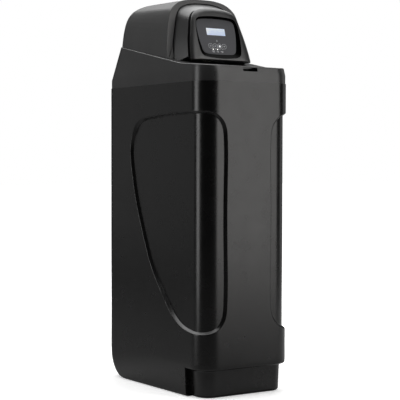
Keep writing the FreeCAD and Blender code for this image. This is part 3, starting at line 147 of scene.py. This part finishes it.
# Scale, detail and roughness of the noises
CLOUD_NOISE = (9.0, 4.0, 0.55)
GLOSS_NOISE = (22.0, 2.0, 0.5)
STREAK_NOISE = (900.0, 3.0, 0.6)
GLOW_NOISE = (60.0, 2.0, 0.5)
FLOOR_NOISE = (0.6, 2.0, 0.5)


def moulded(name, colour, rough, spread=0.12, grain=2600.0, grain_depth=0.00003,
            waves=None, specular=0.5, rough_spread=0.05):
    """Moulded plastic: a faint cloudiness in its colour, a fine grain, a slow unevenness in its
    gloss and, where waves gives their scale and depth, slow waves in its surface"""
    mat, tree, shader = new_material(name)
    place = coords(tree)
    cloud = noise(tree, *CLOUD_NOISE, place)
    link(tree, ramp(tree, cloud, shades(colour, 1 - spread, 1 + spread)),
         shader.inputs["Base Color"])
    gloss = remap(tree, noise(tree, *GLOSS_NOISE, place),
                  result=(rough - rough_spread, rough + rough_spread))
    link(tree, gloss, shader.inputs["Roughness"])
    shader.inputs["Specular IOR Level"].default_value = specular
    fine = noise(tree, grain, 2.0, 0.6, place)
    under = bump(tree, fine, 0.6, grain_depth, shader.inputs["Normal"])
    if waves:
        scale, depth = waves
        bump(tree, noise(tree, scale, 1.0, 0.4, place), 1.0, depth, under)
    return mat


def metal(name, colour, rough, stretch=(1, 1, 1)):
    """Bare metal with fine streaks in its colour, gloss and surface"""
    mat, tree, shader = new_material(name)
    mapping = tree.nodes.new("ShaderNodeMapping")
    mapping.inputs["Scale"].default_value = stretch
    link(tree, coords(tree), mapping.inputs["Vector"])
    streak = noise(tree, *STREAK_NOISE, mapping.outputs["Vector"])
    shader.inputs["Metallic"].default_value = 1.0
    link(tree, ramp(tree, streak, shades(colour, 0.85, 1.1)), shader.inputs["Base Color"])
    link(tree, remap(tree, streak, result=(rough - 0.06, rough + 0.1)),
         shader.inputs["Roughness"])
    bump(tree, streak, 0.4, 0.00002, shader.inputs["Normal"])
    return mat


def glowing(name, colour, strength):
    """Pale plastic or print that gives off some light of its own"""
    mat, tree, shader = new_material(name)
    cloud = noise(tree, *GLOW_NOISE, coords(tree))
    link(tree, ramp(tree, cloud, shades(colour, 0.97, 1.03)), shader.inputs["Base Color"])
    shader.inputs["Roughness"].default_value = 0.3
    shader.inputs["Emission Color"].default_value = (*colour, 1.0)
    shader.inputs["Emission Strength"].default_value = strength
    return mat


SCREEN_X = (-0.036, 0.031)
SCREEN_Z = (1.038, 1.060)


def display_panel():
    """Lit display: whiter towards its left and top, with faint rows across it"""
    mat, tree, shader = new_material("display_panel")
    place = coords(tree)
    axes = tree.nodes.new("ShaderNodeSeparateXYZ")
    link(tree, place, axes.inputs[0])
    across = ramp(tree, remap(tree, axes.outputs["X"], SCREEN_X),
                  [(0.0, (0.9, 0.93, 0.98)), (0.22, (0.72, 0.79, 0.93)), (1.0, (0.66, 0.75, 0.9))])
    upwards = ramp(tree, remap(tree, axes.outputs["Z"], SCREEN_Z),
                   [(0.0, (0.86, 0.9, 0.97)), (0.55, grey(1.0)), (0.85, (1.12, 1.1, 1.04))])
    wave = tree.nodes.new("ShaderNodeTexWave")
    wave.bands_direction = "Z"
    wave.inputs["Scale"].default_value = 62.0
    link(tree, place, wave.inputs["Vector"])
    rows = ramp(tree, wave.outputs["Color"], [(0.0, (0.93, 0.95, 0.98)), (0.6, (1.03, 1.03, 1.02))])
    colour = blended(tree, blended(tree, across, upwards, "MULTIPLY"), rows, "MULTIPLY")
    link(tree, colour, shader.inputs["Base Color"])
    link(tree, colour, shader.inputs["Emission Color"])
    shader.inputs["Emission Strength"].default_value = 0.2
    shader.inputs["Roughness"].default_value = 0.2
    return mat


# One material for each slot of the record
MATS = {
    "cabinet_black": moulded("cabinet_plastic", (0.0025, 0.0024, 0.0024), 0.26,
                             waves=(5.0, 0.0003)),
    "hood_black": moulded("hood_plastic", grey(0.026), 0.42, specular=0.7),
    "face_black": moulded("face_plastic", (0.004, 0.004, 0.0041), 0.35, specular=0.9),
    "membrane": moulded("membrane", (0.052, 0.053, 0.06), 0.5, grain=4200.0),
    "display_glass": display_panel(),
    "lamp_plastic": glowing("lamp_lens", (0.85, 0.85, 0.82), 4.5),
    "key_plastic": moulded("key_top", (0.07, 0.072, 0.08), 0.5),
    "circuit_board": moulded("circuit_board", (0.01, 0.12, 0.05), 0.4),
    "screen_plastic": moulded("screen_case", (0.12, 0.12, 0.13), 0.5),
    "steel": metal("steel", (0.6, 0.6, 0.61), 0.32),
    "tank_grey": moulded("tank_shell", (0.1, 0.13, 0.16), 0.45, spread=0.25,
                         waves=(60.0, 0.0004)),
    "boot_black": moulded("boot_rubber", grey(0.02), 0.75),
    "resin": moulded("resin_beads", (0.35, 0.17, 0.04), 0.5, spread=0.4,
                     grain=1200.0, grain_depth=0.0006),
    "white_plastic": moulded("white_plastic", (0.75, 0.75, 0.72), 0.45, spread=0.04),
    "valve_plastic": moulded("valve_plastic", (0.03, 0.03, 0.032), 0.55, grain_depth=0.00008),
    "seal_plastic": moulded("seal_plastic", (0.2, 0.2, 0.21), 0.6),
    "piston_plastic": moulded("piston_plastic", (0.6, 0.6, 0.58), 0.35),
    "gear_plastic": moulded("gear_plastic", (0.75, 0.72, 0.62), 0.45, spread=0.05),
    "motor_steel": metal("motor_case", (0.45, 0.46, 0.47), 0.4, (1, 12, 1)),
    "handle_red": moulded("handle_plastic", (0.5, 0.03, 0.02), 0.4),
    "nut_plastic": moulded("nut_plastic", (0.05, 0.05, 0.055), 0.55, grain_depth=0.00008),
    "tube_plastic": moulded("tube_plastic", (0.6, 0.63, 0.65), 0.3, spread=0.05),
    "grey_plastic": moulded("grey_plastic", (0.32, 0.33, 0.34), 0.5),
    "float_blue": moulded("blue_plastic", (0.05, 0.13, 0.4), 0.45),
    "rubber": moulded("rubber", grey(0.02), 0.8),
    "cable": moulded("cable_jacket", (0.025, 0.025, 0.028), 0.6),
}
SLOT_OF = {s["node"]: s["material_slot"] for s in frame["record"]["subparts"]}

# The deck and its lid share the cabinet's slot but are a shade lighter
deck_mat = moulded("deck_plastic", (0.028, 0.028, 0.0282), 0.3, waves=(6.0, 0.0002))
NODE_MATS = {"deck": deck_mat, "salt_lid": deck_mat}


# ---------------------------------------------------------------- edges of the CAD pieces

WELD_DISTANCE = 0.00002
PLAIN_BEVEL = 0.0002
BEVELS = {"face_frame": 0.0004, "hood": 0.0008, "display_housing": 0.0008, "salt_lid": 0.0,
          "deck": 0.0005, "cabinet": 0.0006, "union": 0.0005}
PLAIN_ANGLE = 35.0
ANGLES = {"face_frame": 21.0}


def smoothing_group(degrees):
    """Smooth faces with sharp edges where two faces turn by more than some degrees"""
    name = "smooth_%d" % degrees
    group = bpy.data.node_groups.get(name)
    if group:
        return group
    group = bpy.data.node_groups.new(name, "GeometryNodeTree")
    for direction in ("INPUT", "OUTPUT"):
        group.interface.new_socket("Geometry", in_out=direction,
                                   socket_type="NodeSocketGeometry")
    start = group.nodes.new("NodeGroupInput")
    end = group.nodes.new("NodeGroupOutput")
    faces = group.nodes.new("GeometryNodeSetShadeSmooth")
    edges = group.nodes.new("GeometryNodeSetShadeSmooth")
    edges.domain = "EDGE"
    edges.inputs["Shade Smooth"].default_value = False
    angle = group.nodes.new("GeometryNodeInputMeshEdgeAngle")
    compare = group.nodes.new("FunctionNodeCompare")
    compare.data_type = "FLOAT"
    compare.operation = "GREATER_THAN"
    compare.inputs[1].default_value = math.radians(degrees)
    link(group, start.outputs[0], faces.inputs["Geometry"])
    link(group, faces.outputs["Geometry"], edges.inputs["Geometry"])
    link(group, angle.outputs["Unsigned Angle"], compare.inputs[0])
    link(group, compare.outputs["Result"], edges.inputs["Selection"])
    link(group, edges.outputs["Geometry"], end.inputs[0])
    return group


def finish_edges(obj, bevel, degrees):
    weld = obj.modifiers.new("weld", "WELD")
    weld.merge_threshold = WELD_DISTANCE
    if bevel:
        rounded = obj.modifiers.new("bevel", "BEVEL")
        rounded.width = bevel
        rounded.segments = 2
        rounded.limit_method = "ANGLE"
        rounded.angle_limit = math.radians(degrees)
    smooth = obj.modifiers.new("smooth", "NODES")
    smooth.node_group = smoothing_group(int(degrees))
    normals = obj.modifiers.new("normals", "WEIGHTED_NORMAL")
    normals.mode = "FACE_AREA_WITH_ANGLE"
    normals.weight = 50
    normals.keep_sharp = True


for name, obj in NODES.items():
    obj.data.materials.clear()
    obj.data.materials.append(NODE_MATS.get(name, MATS[SLOT_OF[name]]))
    finish_edges(obj, BEVELS.get(name, PLAIN_BEVEL), ANGLES.get(name, PLAIN_ANGLE))


# ---------------------------------------------------------------- wall of the dish in the face

LEAN = math.radians(16.54)
FACE_FOOT = (0, -0.125, 0.960)
DISH_HALF_WIDTH = 0.0775
DISH_LOW = 0.006
DISH_MIDDLE = 0.072
DISH_HIGH = 0.1392
DISH_FLOOR = 0.0021
LEAST_INWARD = 0.25


def face_matrix():
    """Places the face's own plane: X across, Y up the slope, Z out of the face"""
    return Matrix.Translation(FACE_FOOT) @ Matrix.Rotation(math.pi / 2 - LEAN, 4, "X")


# The frame's polygons that stand over the dish's floor and look inwards get a darker material, near
# black and almost without reflection: painted shade on the dish's walls
frame_mesh = NODES["face_frame"].data
frame_mesh.materials.append(moulded("dish_wall_painted_shade", grey(0.0012), 0.24, specular=0.01,
                                    rough_spread=0.03))
to_face = face_matrix().inverted()
for poly in frame_mesh.polygons:
    middle = to_face @ poly.center
    normal = to_face.to_3x3() @ poly.normal
    inward = Vector((-middle.x, DISH_MIDDLE - middle.y, 0)).normalized().dot(normal)
    inside = abs(middle.x) < DISH_HALF_WIDTH and DISH_LOW < middle.y < DISH_HIGH
    if inside and middle.z > DISH_FLOOR and inward > LEAST_INWARD:
        poly.material_index = 1


# ---------------------------------------------------------------- print on the control face

# Heights out of the face, in pairs from just below a surface to just above it: the membrane, the
# screen's window in it, and the tops of the keys
SURFACE = 2.8
KEY_TOP = 3.1
ON_MEMBRANE = (SURFACE - 0.05, SURFACE + 0.06)
ON_SCREEN = (SURFACE - 0.05, SURFACE + 0.04)
ON_KEY = (KEY_TOP - 0.05, KEY_TOP + 0.08)
KEY_PITCH = 16.0
KEY_SHIFT = -4.9
KEY_V = 47.6
KEYS = [KEY_SHIFT + KEY_PITCH * (i - 1.5) for i in range(4)]
KEY_RING = (8.2, 7.3)
UPPER_LABEL_V = 31.8
LOWER_LABEL_V = 28.9
MARK_V = 38.0

print_mat = moulded("panel_print", (0.46, 0.465, 0.48), 0.6)
bright_mat = glowing("bright_print", (0.78, 0.79, 0.8), 0.45)
faint_mat = glowing("display_print", (0.56, 0.65, 0.8), 0.3)


def bridge(bm, first, second):
    """Faces between two closed rows of vertices"""
    count = len(first)
    for i in range(count):
        j = (i + 1) % count
        bm.faces.new([first[i], first[j], second[j], second[i]])


def circle(cx, cy, radius, count):
    turns = [2 * math.pi * i / count for i in range(count)]
    return [(cx + radius * math.cos(turn), cy + radius * math.sin(turn)) for turn in turns]


def bar(cx, cy, width, height):
    corners = ((-1, -1), (1, -1), (1, 1), (-1, 1))
    return [(cx + sx * width / 2, cy + sy * height / 2) for sx, sy in corners]


def row_of(bm, outline, height):
    return [bm.verts.new([length / MM_PER_METRE for length in (x, y, height)])
            for x, y in outline]


def plate(bm, outline, low, high):
    """Closed flat piece over an outline on the face, between two heights"""
    bottom = row_of(bm, outline, low)
    top = row_of(bm, outline, high)
    bm.faces.new(list(reversed(bottom)))
    bm.faces.new(top)
    bridge(bm, bottom, top)


def ring(bm, cx, cy, outer, inner, low, high):
    """Closed flat ring on the face, between two radii and two heights"""
    rows = [row_of(bm, circle(cx, cy, radius, 48), height)
            for radius, height in ((outer, low), (outer, high), (inner, high), (inner, low))]
    for k in range(4):
        bridge(bm, rows[k], rows[(k + 1) % 4])


def printed(name, bm, material, body):
    """Turns what was drawn on the face into a piece of a body"""
    bm.transform(face_matrix())
    bmesh.ops.recalc_face_normals(bm, faces=bm.faces)
    mesh = bpy.data.meshes.new(name)
    bm.to_mesh(mesh)
    bm.free()
    obj = bpy.data.objects.new(name, mesh)
    scene.collection.objects.link(obj)
    mesh.materials.append(material)
    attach(obj, body)


# Rings round the keys, small marks and two rows of label bars below them, a small ring above
bm = bmesh.new()
for x in KEYS:
    ring(bm, x, KEY_V, *KEY_RING, *ON_MEMBRANE)
for x, width in ((-22.5, 10.0), (-6.7, 6.5), (8.3, 9.0)):
    plate(bm, bar(x, UPPER_LABEL_V, width, 1.8), *ON_MEMBRANE)
    plate(bm, bar(x + 1.0, LOWER_LABEL_V, width - 3.0, 1.6), *ON_MEMBRANE)
for x in (-14.2, 1.6, 12.0):
    plate(bm, bar(x, MARK_V, 4.4, 1.5), *ON_MEMBRANE)
ring(bm, -3.8, 64.3, 2.5, 1.5, *ON_MEMBRANE)
printed("panel_print", bm, print_mat, "cabinet_body")

# Place across, place up the slope, width and height of the bars on the screen
SCREEN_BARS = ((-31, 99.6, 5, 1.0), (-22, 99.6, 8, 1.0), (22, 99.6, 9, 1.0), (-16, 92.8, 3, 5.4),
               (-10.5, 92.8, 3, 5.4), (-1.0, 92.8, 3, 5.4), (4.5, 92.8, 3, 5.4),
               (-26, 86.0, 14, 1.1), (-5, 86.0, 16, 1.1), (16, 86.0, 12, 1.1))
bm = bmesh.new()
for x, v, width, height in SCREEN_BARS:
    plate(bm, bar(x, v, width, height), *ON_SCREEN)
printed("display_print", bm, faint_mat, "cabinet_body")


def key_mark(index, outlines, material):
    """Icon on a key, drawn from outlines about the key's middle"""
    bm = bmesh.new()
    for outline in outlines:
        moved = [(KEYS[index] + x, KEY_V + y) for x, y in outline]
        plate(bm, moved, *ON_KEY)
    number = index + 1
    printed("key_%d_mark" % number, bm, material, "key_%d_body" % number)


key_mark(0, [bar(0, 0, 5.4, 1.1), bar(0, 2.2, 3.2, 0.9), bar(0, -2.2, 3.2, 0.9)], print_mat)
key_mark(1, [[(-3, -1.6), (3, -1.6), (0, 2.6)]], print_mat)
key_mark(2, [circle(0, 0, 3.6, 28)], bright_mat)
key_mark(3, [[(-3, 1.6), (0, -2.6), (3, 1.6)]], print_mat)


# ---------------------------------------------------------------- floor

FLOOR_HALF = 30.0
FLOOR_DROP = 0.0005

bm = bmesh.new()
corners = ((-1, -1), (1, -1), (1, 1), (-1, 1))
bm.faces.new([bm.verts.new((sx * FLOOR_HALF, sy * FLOOR_HALF, -FLOOR_DROP)) for sx, sy in corners])
mesh = bpy.data.meshes.new("floor")
bm.to_mesh(mesh)
bm.free()
floor = bpy.data.objects.new("floor", mesh)
scene.collection.objects.link(floor)

# The camera sees pale paint that fades to white with the distance from the foot
mat, tree, shader = new_material("floor_paint")
place = coords(tree)
cloud = noise(tree, *FLOOR_NOISE, place)
link(tree, ramp(tree, cloud, [(0.0, grey(0.86)), (1.0, grey(0.9))]), shader.inputs["Base Color"])
shader.inputs["Roughness"].default_value = 0.9
shader.inputs["Specular IOR Level"].default_value = 0.1
shader.inputs["Emission Color"].default_value = WHITE
measure = tree.nodes.new("ShaderNodeVectorMath")
measure.operation = "LENGTH"
link(tree, place, measure.inputs[0])
distance = measure.outputs["Value"]
link(tree, remap(tree, distance, (0.1, 2.5), (0.45, 1.2), "SMOOTHSTEP"),
     shader.inputs["Emission Strength"])

# The object mirrors a duller floor with painted light and shade: darker on its left, lighter on its
# right and near its foot
dull = tree.nodes.new("ShaderNodeBsdfDiffuse")
sides = tree.nodes.new("ShaderNodeSeparateXYZ")
link(tree, place, sides.inputs[0])
wide = ramp(tree, remap(tree, sides.outputs["X"], (0.1, 0.9)),
            [(0.0, grey(0.22)), (1.0, grey(0.6))])
near = ramp(tree, remap(tree, distance, (0.3, 0.8)),
            [(0.0, grey(0.55)), (1.0, grey(0.0))])
link(tree, blended(tree, wide, near, "LIGHTEN"), dull.inputs["Color"])
by_view(tree, dull.outputs[0], shader.outputs[0], tree.nodes["Material Output"].inputs["Surface"])
mesh.materials.append(mat)


# ---------------------------------------------------------------- light

def background(tree, strength):
    node = tree.nodes.new("ShaderNodeBackground")
    node.inputs["Color"].default_value = WHITE
    node.inputs["Strength"].default_value = strength
    return node.outputs[0]


world = bpy.data.worlds.new("studio")
scene.world = world
world.use_nodes = True
tree = world.node_tree
tree.nodes.clear()
out = tree.nodes.new("ShaderNodeOutputWorld")
by_view(tree, background(tree, 0.03), background(tree, 1.0), out.inputs["Surface"])


def softbox(name, place, target, width, height, radiance, colour=(1, 1, 1)):
    """Rectangular area light of a given brightness per area, turned towards its target"""
    data = bpy.data.lights.new(name, "AREA")
    data.shape = "RECTANGLE"
    data.size = width
    data.size_y = height
    data.energy = radiance * width * height * math.pi
    data.color = colour
    obj = bpy.data.objects.new(name, data)
    scene.collection.objects.link(obj)
    obj.location = place
    away = Vector(place) - Vector(target)
    obj.rotation_mode = "QUATERNION"
    obj.rotation_quaternion = away.to_track_quat("Z", "Y")


# The front box lights the front panel, the left strip is the highlight on the front corner, and
# the gap between them is the dark band beside it. The others lift the sides, the top and the rear.
softbox("front_box", (1.727, -3.015, 1.47), (0.0, -0.25, 1.3), 2.0, 2.9, 2.35, (1.0, 0.985, 0.97))
softbox("left_strip", (-2.64, 0.43, 1.0), (-0.12, -0.22, 0.8), 0.9, 2.3, 3.4)
softbox("side_box", (-2.3, 3.5, 1.62), (-0.16, 0.0, 0.9), 2.2, 3.2, 0.26)
softbox("side_high_box", (-2.2, 2.4, 3.4), (-0.16, 0.0, 1.05), 2.0, 1.2, 0.45)
softbox("top_box", (0.3, 0.6, 3.2), (0.0, 0.0, 0.0), 3.6, 3.6, 3.4)
softbox("high_box", (0.816, -3.16, 2.8), (0.0, -0.12, 1.05), 1.2, 1.0, 2.4)
softbox("right_box", (3.2, 0.0, 1.3), (0.15, 0.0, 0.8), 1.6, 2.4, 0.5)
softbox("rear_box", (1.6, 3.2, 1.5), (0.0, 0.2, 0.7), 1.4, 2.0, 1.5)


# ---------------------------------------------------------------- camera

# Angles, distance and lens fitted to the photograph
YAW = math.radians(-34.04)
PITCH = math.radians(1.691)
ROLL = math.radians(0.106)
CAMERA_AIM = (0.0113, 0, 0.5523)
CAMERA_DISTANCE = 3.7791
IMAGE_WIDTH = 400
FOCAL_PIXELS = 1249.2
SENSOR_WIDTH = 36.0

data = bpy.data.cameras.new("camera")
data.sensor_width = SENSOR_WIDTH
data.lens = SENSOR_WIDTH * FOCAL_PIXELS / IMAGE_WIDTH
data.clip_start = 0.05
data.clip_end = 100.0
camera = bpy.data.objects.new("camera", data)
scene.collection.objects.link(camera)
back = Vector((math.sin(YAW) * math.cos(PITCH), -math.cos(YAW) * math.cos(PITCH), math.sin(PITCH)))
level = (-back).cross(Vector((0, 0, 1))).normalized()
upright = level.cross(-back)
right = level * math.cos(ROLL) + upright * math.sin(ROLL)
up = upright * math.cos(ROLL) - level * math.sin(ROLL)
turn = Matrix((right, up, back)).transposed().to_4x4()
camera.matrix_world = Matrix.Translation(Vector(CAMERA_AIM) + back * CAMERA_DISTANCE) @ turn
scene.camera = camera


# ---------------------------------------------------------------- update

bpy.context.view_layer.update()
